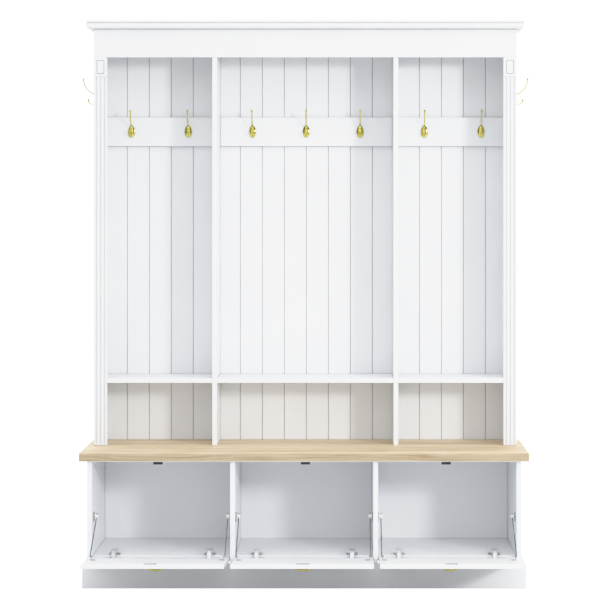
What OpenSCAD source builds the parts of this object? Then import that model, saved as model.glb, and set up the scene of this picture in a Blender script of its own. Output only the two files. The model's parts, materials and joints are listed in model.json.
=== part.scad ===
// Hall tree with a flip-door storage bench, a three-bay hutch and coat hooks.
// The front faces -Y. The origin is on the floor, at the middle of the bench's width and depth.
// The doors are drawn open, held on their stays.

/* [Overall] */
// Width of the bench top and of the crown
bench_w = 1500; // [1200:10:1900]
// Depth of the bench top
bench_d = 400; // [360:5:500]
// Height of the seat above the floor
seat_h = 453; // [420:1:520]
// Height of the whole hall tree
total_h = 1910; // [1550:5:2300]

/* [Boards] */
// Thickness of the panels
board_t = 16; // [15:0.5:20]
// Thickness of the thin back panels
back_t = 6; // [4:0.5:9]
// How far the back panels sit in from the rear edges
back_inset = 3; // [1:0.5:8]
// Width of the eased edge on every board
edge_ease = 0.8; // [0.4:0.1:1.5]
// Gap between neighbouring boards that are fitted together
board_gap = 0.05; // [0.02:0.01:0.2]

/* [Bench] */
// Thickness of the seat board
bench_t = 30; // [22:1:40]
// Overhang of the seat board past each cabinet side
bench_side_over = 25; // [10:1:40]
// Overhang of the seat board past the cabinet front
bench_front_over = 20; // [16:1:40]
// Width of the eased edge on the seat board
bench_ease = 1.6; // [0.8:0.2:3]

/* [Cabinet] */
// Gap between the plinth's top edge and a door's lower edge as it swings
plinth_clear = 1.3; // [1:0.1:25]
// Thickness of the plinth boards
plinth_t = 15; // [12:1:15]
// Height of the cabinet floor's top face
floor_top = 104; // [104:1:130]
// Thickness of the bars that hold up the cabinet floor
support_t = 16; // [12:1:25]

/* [Doors] */
// Thickness of a door
door_t = 15; // [14.5:0.5:18]
// Gap at each end of a door
door_side_gap = 2; // [1.5:0.5:4]
// Gap above a closed door
door_top_gap = 4; // [3:0.5:8]
// How far a closed door's lower edge is below the cabinet floor's top face
door_lap = 12; // [11:0.5:12]
// Angle that a door opens from upright
door_open = 84; // [75:1:86]
// Gap between a closed door and the front edge of the cabinet floor
floor_setback = 3; // [2.5:0.5:6]

/* [Hinges] */
// Distance of the hinge pin from the door's inner face and from its lower edge
pin_in = 4; // [4:0.5:4.5]
// Radius of the hinge pin
pin_r = 1.5; // [1.2:0.1:1.6]
// Radial running clearance of the hinge pin
pin_clear = 0.05; // [0.03:0.01:0.1]
// Distance from the end of a door to the middle of its hinge
hinge_inset = 69; // [50:1:100]
// Radius of the hinge cup
cup_r = 17.4; // [16:0.1:17.5]
// Depth of the hinge cup
cup_depth = 10.8; // [9.5:0.1:11]
// Distance from the door's lower edge to the middle of the cup
cup_up = 22.5; // [21.5:0.5:24]
// Width of the cup's flange
flange_w = 56; // [50:1:62]
// Width of the hinge arm's channel
arm_w = 21; // [19:0.5:24]
// Height of the hinge arm above the cabinet floor
arm_h = 16; // [15:0.5:20]
// Length of the hinge arm's channel
arm_len = 48; // [40:1:60]
// Width of the nose that carries the pin
nose_w = 13; // [11:0.5:14]

/* [Stays] */
// Distance from the hinge pin to both ends of a stay
stay_reach = 140; // [116:1:170]
// Height of the foot's pivot above the door's inner face
foot_h = 12; // [10:0.5:14]
// Angle left between the two ends of a stay when the door is shut
stay_rest_angle = 11; // [10:0.5:16]
// Distance from the cabinet wall to the middle of the rod
rod_off = 10; // [9.5:0.5:14]
// Radius of the rod
rod_r = 2; // [1.5:0.1:2.2]
// Radial clearance of the rod in its guide block
rod_clear = 0.3; // [0.3:0.05:0.5]
// Height of the wall bracket's plate
bracket_h = 32; // [28:1:40]
// Width of the wall bracket's plate
bracket_w = 20; // [16:1:26]

/* [Handles] */
// Distance between the two posts of a handle
handle_span = 64; // [64:16:128]
// Height of the handle's arch above the door face
handle_rise = 15; // [14:0.5:26]
// Radius of the handle's bar
handle_r = 3; // [2.5:0.25:3.5]
// Distance from the door's upper edge to the handle
handle_down = 105; // [40:1:160]

/* [Hutch] */
// Depth of the hutch
hutch_d = 192; // [160:1:230]
// Width of the opening in the middle bay
middle_bay_w = 606; // [480:2:700]
// Height of the low shelf's top face above the seat
shelf_up = 231; // [180:1:320]
// Height of the plain board under the crown
frieze_h = 97; // [60:1:130]
// Height of the crown
crown_h = 28; // [24:1:40]
// Overhang of the crown past the frieze
crown_over = 25; // [20:1:35]
// Overhang left at the crown's lower edge
crown_low_over = 16.5; // [8:0.5:18]

/* [Pilasters] */
// Width of a pilaster
pilaster_w = 45; // [38:1:60]
// Height of the block at the top of a pilaster
capital_h = 68; // [50:1:90]
// Number of flutes on a pilaster
flute_count = 3; // [1:1:4]
// Distance between flutes
flute_pitch = 13.5; // [9:0.5:14]
// Radius of a flute's cutter
flute_r = 2.6; // [2.5:0.1:4.5]
// Depth of a flute
flute_depth = 2.4; // [1:0.1:2.4]
// Width of the routed rectangle on the block
rout_w = 27; // [22:0.5:32]
// Height of the routed rectangle on the block
rout_h = 48; // [36:1:56]
// Width of the routed line
rout_line = 3; // [1.6:0.2:4]
// Depth of the routed line
rout_depth = 2.2; // [0.8:0.1:2.5]

/* [Beadboard] */
// Distance between two bead grooves
bead_pitch = 77.5; // [50:0.5:110]
// Width of a bead groove
bead_w = 4; // [3:0.5:8]
// Depth of a bead groove
bead_depth = 3; // [1:0.1:3]

/* [Hook rails] */
// Height of the hook rails
rail_h = 101; // [80:1:130]
// Height of the rail's middle above the floor, taken from the top of the hall tree down
rail_down = 375; // [300:1:450]
// Distance of the outer bays' hooks from the middle of their rail
side_hook_x = 99.5; // [60:0.5:120]
// Distance of the middle bay's outer hooks from the middle of their rail
middle_hook_x = 189; // [120:1:220]
// Height of the plate of a hook on the hutch's outer side, from the top down
end_hook_down = 269; // [200:1:400]
// Distance of that plate's middle behind the front of the hutch
end_hook_back = 52; // [36:1:110]

/* [Hooks] */
// Width of a hook's oval plate
plate_w = 25; // [20:0.5:30]
// Height of a hook's oval plate
plate_h = 42; // [38:0.5:50]
// Thickness of a hook's plate
plate_t = 3.6; // [3:0.2:5]
// Reach of the upper prong from the wall
upper_reach = 42; // [30:0.5:50]
// Height of the upper prong's ball above the middle of the plate
upper_rise = 71.5; // [62:0.5:80]
// Reach of the lower prong from the wall
lower_reach = 25; // [20:0.5:32]
// Radius of the upper prong's ball
upper_ball_r = 4; // [3.6:0.1:5]
// Radius of the lower prong's ball
lower_ball_r = 3.7; // [3.2:0.1:4.5]
// Radius of a prong's stem
stem_r = 2.4; // [2:0.1:2.8]

/* [Small fittings] */
// Width of a magnetic catch
catch_w = 31; // [26:1:40]
// Depth of a magnetic catch
catch_d = 15; // [12:1:20]
// Height of a magnetic catch
catch_h = 13.5; // [9:0.5:14]
// Gap between the catch and its strike plate when the door is shut
catch_gap = 0.5; // [0.4:0.1:1]
// Width of a strike plate
strike_w = 41; // [36:1:50]
// Height of a strike plate
strike_h = 12; // [10:1:16]
// Thickness of the thin steel plates
plate_steel_t = 1.2; // [1:0.1:1.5]
// Radius of a screw's shank
screw_r = 1.7; // [1.5:0.1:1.9]
// Radius of a screw's head
screw_head_r = 3.2; // [3:0.1:3.6]
// Length of a screw under its head
screw_len = 13; // [10:0.5:14]
// Radial clearance of a screw in a fitting's hole
screw_clear = 0.2; // [0.1:0.05:0.4]

/* [Hidden] */
$fn = 40;

white = "#f4f4f3";
oak = "#d9b98c";
brass = "#d8b24a";
steel = "#b9bcc0";
black = "#2b2b2d";
plastic = "#f7f7f5";

LEFT = -1;
MIDDLE = 0;
RIGHT = 1;

// Overall planes
front_y = -bench_d / 2;
rear_y = bench_d / 2;
carcass_w = bench_w - 2 * bench_side_over;
side_x = carcass_w / 2;
inner_x = side_x - board_t;
carcass_front = front_y + bench_front_over;
bench_under = seat_h - bench_t;
back_front = rear_y - back_inset - back_t;

// Cabinet: three equal compartments
bay_w = (2 * inner_x - 2 * board_t) / 3;
base_div_x = bay_w / 2 + board_t / 2;
bay_step = bay_w + board_t;
floor_under = floor_top - board_t;

// Doors, in a frame with its origin on the hinge pin, the upright door along +Z and its inner face at +Y
door_w = bay_w - 2 * door_side_gap;
door_bottom = floor_top - door_lap;
door_h = bench_under - door_top_gap - door_bottom;
door_inner_y = carcass_front + door_t;
pin_y = door_inner_y - pin_in;
pin_z = door_bottom + pin_in;
plinth_h = pin_z - norm([pin_in, door_t - pin_in]) - plinth_clear;
door_top_z = door_h - pin_in;
hinge_x = door_w / 2 - hinge_inset;
floor_front = door_inner_y + floor_setback;

// Hinge details, in the door's frame
cup_z = cup_up - pin_in;
cup_wall = 1;
cup_fit = 0.1;
flange_h = 16;
lug_t = 3;
lug_gap = 0.5;
lug_skin = 0.4;
lug_r = pin_in - lug_skin;
lug_side = nose_w / 2 + lug_gap;
notch_w = 2 * (lug_side + lug_t + lug_gap);
notch_up = 20;
notch_deep = pin_in + 4.6;
ear_inset = 5.5;
ear_x = flange_w / 2 - ear_inset;
lug_top = 9;

// Hinge arm, in the pin's own frame
rise = floor_top - pin_z;
arm_wall = 1.5;
arm_start = 14;
mount_t = 2;
mount_w = 38;
mount_start = 10;
arm_top = rise + arm_h;
nose_r = 3.2;
nose_lean = 20;
nose_half = 2.4;
nose_share = 0.75;
nose_back = 8;
nose_shoulder = 4;
knee_up = 1.6;
knee_back = 1.4;
eye_clear = 0.02;

// Stay: both pivots are at stay_reach from the hinge pin, so the rod and its guide block each turn by
// half the door's angle, and the rod always points through the block
foot_lift = asin((pin_in + foot_h) / stay_reach);
foot_along = stay_reach * cos(foot_lift);
foot_angle = 90 - door_open + foot_lift;
wall_angle = foot_angle + door_open + stay_rest_angle;
foot_y = pin_y - stay_reach * cos(foot_angle);
foot_z = pin_z + stay_reach * sin(foot_angle);
wall_y = pin_y - stay_reach * cos(wall_angle);
wall_z = pin_z + stay_reach * sin(wall_angle);
rod_slope = atan2(wall_z - foot_z, wall_y - foot_y);
rod_reach = norm([wall_y - foot_y, wall_z - foot_z]);
block_l = 16;
block_h = 12;
block_t = 10.4;
block_near = rod_off - block_t / 2;
stud_r = 2.5;
stud_end = rod_off - rod_r - 1;
stop_r = 4;
stop_l = 5;
stop_gap = 0.3;
rod_tail = 1.5;
rod_l = rod_reach + block_l / 2 + stop_gap + stop_l + rod_tail;
foot_plate_w = 15;
foot_plate_l = 22;
foot_t = 1.6;
foot_side_gap = 0.6;
foot_near = rod_off + rod_r + foot_side_gap;
foot_ear_r = 5;
leg_tail = 2;
leg_l = foot_near + foot_t + leg_tail - rod_off;
bracket_hole = 11;

// Handle: an arc that rises from its two posts
post_h = 5;
post_r = 4.2;
arch_base = post_h - 1.5;
arch_sag = handle_rise - handle_r - arch_base;
arch_r = (pow(handle_span / 2, 2) + pow(arch_sag, 2)) / (2 * arch_sag);
arch_half = asin(handle_span / 2 / arch_r);
handle_z = door_top_z - handle_down;

// Catches: how far each compartment's catch sits from the compartment's middle, from left to right
catch_shift = [-12, 4, -3];
strike_share = 0.5;

// Hutch
hutch_front = rear_y - hutch_d;
crown_z = total_h - crown_h;
frieze_z = crown_z - frieze_h;
hutch_div_x = middle_bay_w / 2 + board_t / 2;
shelf_z = seat_h + shelf_up - board_t;
rail_z = total_h - rail_down - rail_h / 2;
rail_front = back_front - board_t;
side_bay_w = inner_x - middle_bay_w / 2 - board_t;
side_bay_x = middle_bay_w / 2 + board_t + side_bay_w / 2;
capital_z = frieze_z - capital_h;
flute_top = capital_z - 6;
flute_bottom = seat_h + 8.5;
capital_line = 4;
rout_round = 5;

// Hook, in a frame where X is out from the wall and Y is up
stem_sink = 1.2;
upper_start = plate_h / 2 - stem_r + 0.6;
upper_out = upper_reach - stem_sink;
upper_up = upper_rise - upper_start;
upper_half = atan2(upper_out, upper_up);
upper_turn = 2 * upper_half;
upper_arc = upper_up / sin(upper_turn);
lower_arc = 12;
lower_drop = 16.5 - stem_r;
hook_screw_up = 9.5;
hook_screw_low = -4.5;
end_hook_y = hutch_front + end_hook_back;

// A rectangle with eased corners
module eased_rect(a, b, c) {
    polygon([[c, 0], [a - c, 0], [a, c], [a, b - c], [a - c, b], [c, b], [0, b - c], [0, c]]);
}

// A board between two corners, with all its edges eased
module board(lo, hi, c = edge_ease) {
    s = hi - lo;
    translate(lo)
        intersection() {
            linear_extrude(s.z) eased_rect(s.x, s.y, c);
            translate([0, s.y, 0]) rotate([90, 0, 0]) linear_extrude(s.y) eased_rect(s.x, s.z, c);
            rotate([90, 0, 90]) linear_extrude(s.x) eased_rect(s.y, s.z, c);
        }
}

// Children are drawn for the right side and mirrored for the left
module on_side(side) {
    mirror([side == LEFT ? 1 : 0, 0, 0]) children();
}

// A cylinder along X from x0 to x1
module pin_x(r, x0, x1) {
    translate([x0, 0, 0]) rotate([0, 90, 0]) cylinder(r = r, h = x1 - x0);
}

// Points of an ellipse
function ellipse(a, b, n = 40) = [for (i = [0:n - 1]) [a * cos(360 * i / n), b * sin(360 * i / n)]];

// A screw whose head stands on the plane z = 0, pointing down
module screw() {
    translate([0, 0, -screw_len]) cylinder(r = screw_r, h = screw_len + 0.5);
    cylinder(r = screw_head_r, h = 1.6);
}

module screw_hole(depth) {
    translate([0, 0, -depth]) cylinder(r = screw_r + screw_clear, h = 2 * depth);
}

// The crown's moulded edge, measured out from the face under it: a rounded lower edge, a narrow
// groove, then a plain top band
band_h = crown_h * 0.23;
bulge_h = crown_h * 0.75;
bulge_run = crown_over - crown_low_over;
bulge_end = 50;
bulge_steps = 10;
groove_out = crown_low_over + bulge_run * cos(bulge_end);
crown_edge = concat(
    [for (i = [0:bulge_steps]) let (a = i * (90 + bulge_end) / bulge_steps - 90)
        [crown_low_over + bulge_run * cos(a), bulge_h / 2 * (1 + sin(a))]],
    [[groove_out, crown_h - band_h], [crown_over, crown_h - band_h],
     [crown_over, crown_h - edge_ease], [crown_over - edge_ease, crown_h]]);

module crown() {
    last = len(crown_edge) - 1;
    color(white)
        translate([0, 0, crown_z])
        intersection() {
            translate([-bench_w / 2 - 1, hutch_front, 0])
                rotate([90, 0, 90]) linear_extrude(bench_w + 2)
                mirror([1, 0]) polygon(concat([[-hutch_d, 0]], crown_edge, [[-hutch_d, crown_h]]));
            translate([0, rear_y, 0])
                rotate([90, 0, 0]) linear_extrude(hutch_d + 2 * crown_over)
                polygon(concat([for (p = crown_edge) [side_x + p.x, p.y]],
                               [for (i = [last:-1:0]) [-side_x - crown_edge[i].x, crown_edge[i].y]]));
        }
}

module frieze() {
    color(white)
        board([-side_x, hutch_front, frieze_z + board_gap],
              [side_x, hutch_front + board_t, crown_z - board_gap]);
}

// The routed outline on a capital, with rounded lower corners
module rout_shape(w, h, r) {
    translate([-w / 2, -h / 2 + r]) square([w, h - r]);
    translate([-w / 2 + r, -h / 2]) square([w - 2 * r, h / 2]);
    for (s = [-1, 1])
        translate([s * (w / 2 - r), -h / 2 + r]) circle(r = r);
}

module pilaster(side) {
    flute_out = flute_r - flute_depth;
    mid = side_x - pilaster_w / 2;
    color(white)
        on_side(side)
        difference() {
            board([side_x - pilaster_w, hutch_front, seat_h + board_gap],
                  [side_x, hutch_front + board_t, frieze_z]);
            for (i = [0:flute_count - 1])
                translate([mid + (i - (flute_count - 1) / 2) * flute_pitch, hutch_front - flute_out, 0]) {
                    translate([0, 0, flute_bottom]) cylinder(r = flute_r, h = flute_top - flute_bottom);
                    for (z = [flute_bottom, flute_top])
                        translate([0, 0, z]) sphere(r = flute_r);
                }
            // the line under the capital
            translate([mid, hutch_front, capital_z])
                rotate([45, 0, 0]) cube([pilaster_w + 2, capital_line / sqrt(2), capital_line / sqrt(2)],
                                        center = true);
            translate([mid, hutch_front + rout_depth, (capital_z + frieze_z) / 2])
                rotate([90, 0, 0]) linear_extrude(2 * rout_depth)
                difference() {
                    rout_shape(rout_w, rout_h, rout_round);
                    rout_shape(rout_w - 2 * rout_line, rout_h - 2 * rout_line, rout_round - rout_line);
                }
        }
}

module hutch_side(side) {
    color(white)
        on_side(side)
        board([inner_x, hutch_front + board_t + board_gap, seat_h + board_gap],
              [side_x, rear_y, crown_z - board_gap]);
}

// A divider reaches the front plane below the frieze and stops behind it above
module hutch_divider(side) {
    color(white)
        on_side(side)
        difference() {
            board([hutch_div_x - board_t / 2, hutch_front, seat_h + board_gap],
                  [hutch_div_x + board_t / 2, back_front - board_gap, crown_z - board_gap]);
            translate([hutch_div_x - board_t, hutch_front - 1, frieze_z - board_gap])
                cube([2 * board_t, board_t + 1 + 2 * board_gap, frieze_h + 1]);
        }
}

// A back panel from x0 to x1, drawn from its cross-section: V grooves centred in a bay
module bead_panel(x0, x1, bay_x, bay_width) {
    count = round(bay_width / bead_pitch) - 1;
    first = bay_x - (count - 1) / 2 * bead_pitch;
    outline = concat(
        [[x0, 0]],
        [for (i = [0:count - 1]) for (p = [[-bead_w / 2, 0], [0, bead_depth], [bead_w / 2, 0]])
            [first + i * bead_pitch + p.x, p.y]],
        [[x1, 0], [x1, back_t], [x0, back_t]]);
    translate([0, back_front, seat_h + board_gap])
        linear_extrude(crown_z - seat_h - 2 * board_gap) polygon(outline);
}

module beadboard_middle() {
    half = hutch_div_x - board_gap;
    color(white) bead_panel(-half, half, 0, middle_bay_w);
}

module beadboard(side) {
    color(white)
        on_side(side)
        bead_panel(hutch_div_x + board_gap, inner_x - board_gap, side_bay_x, side_bay_w);
}

module rail_board(x0, x1) {
    board([x0 + board_gap, rail_front, rail_z], [x1 - board_gap, back_front - board_gap, rail_z + rail_h]);
}

module hook_rail_middle() {
    color(white) rail_board(-middle_bay_w / 2, middle_bay_w / 2);
}

module hook_rail(side) {
    color(white)
        on_side(side) rail_board(middle_bay_w / 2 + board_t, inner_x);
}

module hutch_shelf_middle() {
    half = middle_bay_w / 2 - board_gap;
    color(white)
        board([-half, hutch_front, shelf_z], [half, back_front - board_gap, shelf_z + board_t]);
}

// An outer shelf is notched round the back of the pilaster
module hutch_shelf(side) {
    color(white)
        on_side(side)
        difference() {
            board([middle_bay_w / 2 + board_t + board_gap, hutch_front, shelf_z],
                  [inner_x - board_gap, back_front - board_gap, shelf_z + board_t]);
            translate([side_x - pilaster_w - board_gap, hutch_front - 1, shelf_z - 1])
                cube([pilaster_w, board_t + 1 + board_gap, board_t + 2]);
        }
}

module bench_top() {
    color(oak)
        board([-bench_w / 2, front_y, bench_under + board_gap], [bench_w / 2, rear_y, seat_h], bench_ease);
}

module base_side(side) {
    color(white)
        on_side(side) board([inner_x, carcass_front, 0], [side_x, rear_y, bench_under]);
}

module base_divider(side) {
    color(white)
        on_side(side)
        board([base_div_x - board_t / 2, carcass_front, 0],
              [base_div_x + board_t / 2, back_front - board_gap, bench_under]);
}

module base_floor(place) {
    half = bay_w / 2 - board_gap;
    color(white)
        translate([place * bay_step, 0, 0])
        board([-half, floor_front, floor_under], [half, back_front - board_gap, floor_top]);
}

module base_back() {
    color(white)
        board([-inner_x + board_gap, back_front, floor_under],
              [inner_x - board_gap, back_front + back_t, bench_under]);
}

module plinth_front() {
    half = side_x + plinth_t;
    color(white)
        board([-half, carcass_front - plinth_t, 0], [half, carcass_front - board_gap, plinth_h]);
}

module plinth_side(side) {
    color(white)
        on_side(side)
        board([side_x + board_gap, carcass_front, 0], [side_x + plinth_t, rear_y, plinth_h]);
}

// A bar under the middle of each floor panel
module floor_supports() {
    color(white)
        for (place = [LEFT, MIDDLE, RIGHT])
            translate([place * bay_step, 0, 0])
            board([-support_t / 2, floor_front, 0], [support_t / 2, back_front, floor_under - board_gap]);
}

// Draws its children at both hinges of every door, in the pin's own frame
module at_hinges() {
    for (place = [LEFT, MIDDLE, RIGHT])
        for (s = [-1, 1])
            translate([place * bay_step + s * hinge_x, pin_y, pin_z]) children();
}

// The nose climbs from the pin, clears the floor's front edge and turns back into the channel
module arm_nose() {
    top = rise + arm_h - arm_wall / 2;
    lean = tan(nose_lean);
    knee = rise + knee_up;
    outline = [[-nose_half, 0], [top * lean * nose_share - nose_half, top * nose_share],
               [arm_start - nose_shoulder, top], [arm_start + nose_back, top],
               [arm_start + nose_back, knee + mount_t], [knee * lean + nose_half + knee_back, knee],
               [nose_half, 0]];
    difference() {
        union() {
            rotate([90, 0, 90]) linear_extrude(nose_w, center = true) polygon(outline);
            pin_x(nose_r, -nose_w / 2, nose_w / 2);
        }
        pin_x(pin_r + eye_clear, -nose_w, nose_w);
    }
}

module hinge_arm() {
    arm_nose();
    translate([-arm_w / 2, arm_start, arm_top - arm_wall]) cube([arm_w, arm_len, arm_wall]);
    for (s = [-1, 1])
        translate([s * (arm_w - arm_wall) / 2 - arm_wall / 2, arm_start, rise + mount_t / 2])
            cube([arm_wall, arm_len, arm_h - mount_t / 2 - arm_wall / 2]);
    difference() {
        translate([-mount_w / 2, mount_start, rise])
            cube([mount_w, arm_start + arm_len - mount_start, mount_t]);
        at_arm_screws() screw_hole(2 * mount_t);
    }
}

// The two screws of a hinge arm stand beside its channel
module at_arm_screws() {
    for (s = [-1, 1])
        translate([s * (mount_w + arm_w) / 4, arm_start + arm_len / 2, rise + mount_t]) children();
}

module hinge_arms() {
    color(steel) at_hinges() hinge_arm();
}

module hinge_pins() {
    half = lug_side + lug_t;
    color(steel) at_hinges() pin_x(pin_r, -half, half);
}

// Puts children drawn in the upright door's frame where the open door is
module on_door(place) {
    translate([place * bay_step, pin_y, pin_z]) rotate([door_open, 0, 0]) children();
}

// The space that a hinge takes out of the door: the round cup and the slot for the nose and its lugs
module hinge_cut() {
    translate([0, pin_in + 1, cup_z])
        rotate([90, 0, 0]) cylinder(r = cup_r + cup_fit, h = cup_depth + cup_fit + 1);
    translate([-notch_w / 2, pin_in - notch_deep, -pin_in - 1])
        cube([notch_w, notch_deep + 1, notch_up + 1]);
}

module door(place) {
    color(white)
        on_door(place)
        difference() {
            board([-door_w / 2, pin_in - door_t, -pin_in], [door_w / 2, pin_in, door_top_z]);
            for (s = [-1, 1])
                translate([s * hinge_x, 0, 0]) hinge_cut();
        }
}

// A drawn steel cup with a flange, and two lugs that turn on the pin
module hinge_cup() {
    lug_y = pin_in - notch_deep + lug_skin;
    difference() {
        union() {
            translate([0, pin_in, cup_z]) rotate([90, 0, 0]) cylinder(r = cup_r, h = cup_depth);
            translate([-flange_w / 2, pin_in, cup_z - flange_h / 2])
                cube([flange_w, plate_steel_t, flange_h]);
        }
        translate([0, pin_in + 2, cup_z])
            rotate([90, 0, 0]) cylinder(r = cup_r - cup_wall, h = cup_depth - cup_wall + 2);
        // the way through the cup's wall for the nose
        translate([-notch_w / 2 + lug_gap, pin_in - notch_deep, cup_z - cup_r - 1])
            cube([notch_w - 2 * lug_gap, notch_deep + 2, cup_r]);
        for (s = [-1, 1])
            translate([s * ear_x, pin_in - 1, cup_z]) rotate([-90, 0, 0])
                cylinder(r = screw_r + screw_clear, h = plate_steel_t + 2);
    }
    for (s = [-1, 1])
        difference() {
            translate([s * (lug_side + lug_t / 2) - lug_t / 2, 0, 0])
                union() {
                    pin_x(lug_r, 0, lug_t);
                    translate([0, lug_y, 0]) cube([lug_t, pin_in - lug_skin - lug_y, lug_top]);
                }
            pin_x(pin_r + pin_clear, -notch_w, notch_w);
        }
}

module hinge_cups(place) {
    color(steel)
        on_door(place)
        for (s = [-1, 1])
            translate([s * hinge_x, 0, 0]) hinge_cup();
}

module handle(place) {
    color(brass)
        on_door(place)
        translate([0, pin_in - door_t - board_gap, handle_z])
        rotate([90, 0, 0]) {
            for (s = [-1, 1])
                translate([s * handle_span / 2, 0, 0]) cylinder(r = post_r, h = post_h);
            for (s = [-1, 1])
                translate([s * handle_span / 2, 0, arch_base]) sphere(r = handle_r);
            translate([0, 0, handle_rise - handle_r - arch_r])
                rotate([90, 0, 0])
                rotate([0, 0, 90 - arch_half])
                rotate_extrude(angle = 2 * arch_half) translate([arch_r, 0]) circle(r = handle_r);
        }
}

module strike_plate(place) {
    strike_z = door_top_z - (catch_h - door_top_gap) / 2 - strike_h / 2;
    color(steel)
        on_door(place)
        translate([strike_share * catch_shift[place + 1] - strike_w / 2, pin_in + board_gap, strike_z])
        cube([strike_w, plate_steel_t - board_gap, strike_h]);
}

module door_catches() {
    catch_y = door_inner_y + plate_steel_t + catch_gap;
    color(black)
        for (place = [LEFT, MIDDLE, RIGHT])
            translate([place * bay_step + catch_shift[place + 1], 0, 0])
            difference() {
                board([-catch_w / 2, catch_y, bench_under - catch_h],
                      [catch_w / 2, catch_y + catch_d, bench_under]);
                // slot round the magnet's face
                translate([-catch_w * 0.3, catch_y - 1, bench_under - catch_h + 2.5])
                    cube([catch_w * 0.6, 2, 1.2]);
            }
}

// Draws its children at both walls of one compartment, in a frame whose X leaves the wall
module at_walls(place) {
    for (s = [-1, 1])
        translate([place * bay_step, 0, 0])
            mirror([s > 0 ? 1 : 0, 0, 0]) translate([-bay_w / 2, 0, 0]) children();
}

module stay_bracket() {
    difference() {
        translate([board_gap, -bracket_w / 2, -bracket_h / 2])
            cube([plate_steel_t, bracket_w, bracket_h]);
        for (s = [-1, 1])
            translate([0, 0, s * bracket_hole])
                rotate([0, 90, 0]) screw_hole(2 * plate_steel_t);
    }
    pin_x(stud_r, plate_steel_t / 2, stud_end);
}

module stay_brackets() {
    color(steel)
        for (place = [LEFT, MIDDLE, RIGHT])
            at_walls(place) translate([0, wall_y, wall_z]) stay_bracket();
}

// A guide block that turns on the bracket's stud and lets the rod slide through
module stay_swivel() {
    difference() {
        translate([block_near, 0, 0])
            rotate([0, 90, 0]) linear_extrude(block_t)
            union() {
                square([block_h, block_l - block_h / 2], center = true);
                for (s = [-1, 1])
                    translate([0, s * (block_l / 2 - 4)]) square([block_h - 4, 8], center = true);
                circle(r = block_h / 2);
            }
        pin_x(stud_r + pin_clear, block_near - 1, stud_end + 0.3);
        translate([rod_off, -block_l, 0])
            rotate([-90, 0, 0]) cylinder(r = rod_r + rod_clear, h = 2 * block_l);
    }
}

module stay_swivels(place) {
    color(plastic)
        at_walls(place) translate([0, wall_y, wall_z]) rotate([rod_slope, 0, 0]) stay_swivel();
}

// A bent wire: a leg through the foot's ear, then a straight run to the stop at its free end
module stay_rod() {
    translate([rod_off, 0, 0]) {
        rotate([-90, 0, 0]) cylinder(r = rod_r, h = rod_l);
        translate([0, rod_l - stop_l - rod_tail, 0]) rotate([-90, 0, 0]) cylinder(r = stop_r, h = stop_l);
        sphere(r = rod_r);
        pin_x(rod_r, 0, leg_l);
    }
}

module stay_rods(place) {
    color(steel)
        at_walls(place) translate([0, foot_y, foot_z]) rotate([rod_slope, 0, 0]) stay_rod();
}

// An angle plate on the door's inner face; its ear holds the rod's leg
module stay_foot() {
    ear = foot_near - door_side_gap;
    difference() {
        union() {
            translate([ear, pin_in + board_gap, foot_along - foot_plate_l / 2])
                cube([foot_plate_w, foot_t, foot_plate_l]);
            translate([ear, pin_in + board_gap, foot_along - foot_ear_r])
                cube([foot_t, foot_h, 2 * foot_ear_r]);
            translate([0, pin_in + foot_h, foot_along]) pin_x(foot_ear_r, ear, ear + foot_t);
        }
        translate([0, pin_in + foot_h, foot_along]) pin_x(rod_r + pin_clear, ear - 1, ear + foot_t + 1);
        for (s = [-1, 1])
            translate([ear + foot_plate_w * 0.6, pin_in - 1, foot_along + s * foot_plate_l * 0.27])
                rotate([-90, 0, 0]) cylinder(r = screw_r + screw_clear, h = foot_t + 3);
    }
}

module stay_feet(place) {
    color(steel)
        on_door(place)
        for (s = [-1, 1])
            mirror([s > 0 ? 1 : 0, 0, 0]) translate([-door_w / 2, 0, 0]) stay_foot();
}

// A double hook with its plate's back on the plane y = 0 and its prongs towards -Y
module hook() {
    rotate([90, 0, -90])
        difference() {
            union() {
                rotate([0, 90, 0]) hook_plate();
                // upper prong
                translate([upper_reach - upper_arc, upper_rise, 0])
                    rotate([0, 0, -upper_turn])
                    rotate_extrude(angle = upper_turn) translate([upper_arc, 0]) circle(r = stem_r);
                translate([upper_reach, upper_rise, 0]) sphere(r = upper_ball_r);
                // lower prong
                translate([0.5, -lower_drop, 0]) pin_x(stem_r, 0, lower_reach - lower_arc - 0.5);
                translate([lower_reach - lower_arc, lower_arc - lower_drop, 0])
                    rotate([0, 0, -90])
                    rotate_extrude(angle = 90) translate([lower_arc, 0]) circle(r = stem_r);
                translate([lower_reach, lower_arc - lower_drop + lower_ball_r / 2, 0])
                    sphere(r = lower_ball_r);
            }
            translate([-20, -plate_h, -plate_w]) cube([20, 3 * plate_h, 2 * plate_w]);
            for (up = [hook_screw_low, hook_screw_up])
                translate([plate_t, up, 0]) rotate([0, 90, 0]) screw_hole(2 * plate_t);
        }
}

// Oval plate in two steps, its back on the plane z = 0
module hook_plate() {
    linear_extrude(plate_t / 2) polygon(ellipse(plate_w / 2, plate_h / 2));
    linear_extrude(plate_t) polygon(ellipse(plate_w / 2 - 1.8, plate_h / 2 - 1.8));
}

hook_z = rail_z + rail_h / 2;
end_hook_z = total_h - end_hook_down;

module at_outer_rail_hooks(side) {
    for (s = [-1, 1])
        translate([side * side_bay_x + s * side_hook_x, rail_front, hook_z]) children();
}

module at_middle_rail_hooks() {
    for (s = [-1, 0, 1])
        translate([s * middle_hook_x, rail_front, hook_z]) children();
}

module at_end_hooks() {
    for (s = [-1, 1])
        translate([s * side_x, end_hook_y, end_hook_z]) rotate([0, 0, s * 90]) children();
}

module hooks_outer_bay(side) {
    color(brass) at_outer_rail_hooks(side) hook();
}

module hooks_middle() {
    color(brass) at_middle_rail_hooks() hook();
}

module hooks_outside() {
    color(brass) at_end_hooks() hook();
}

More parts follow.
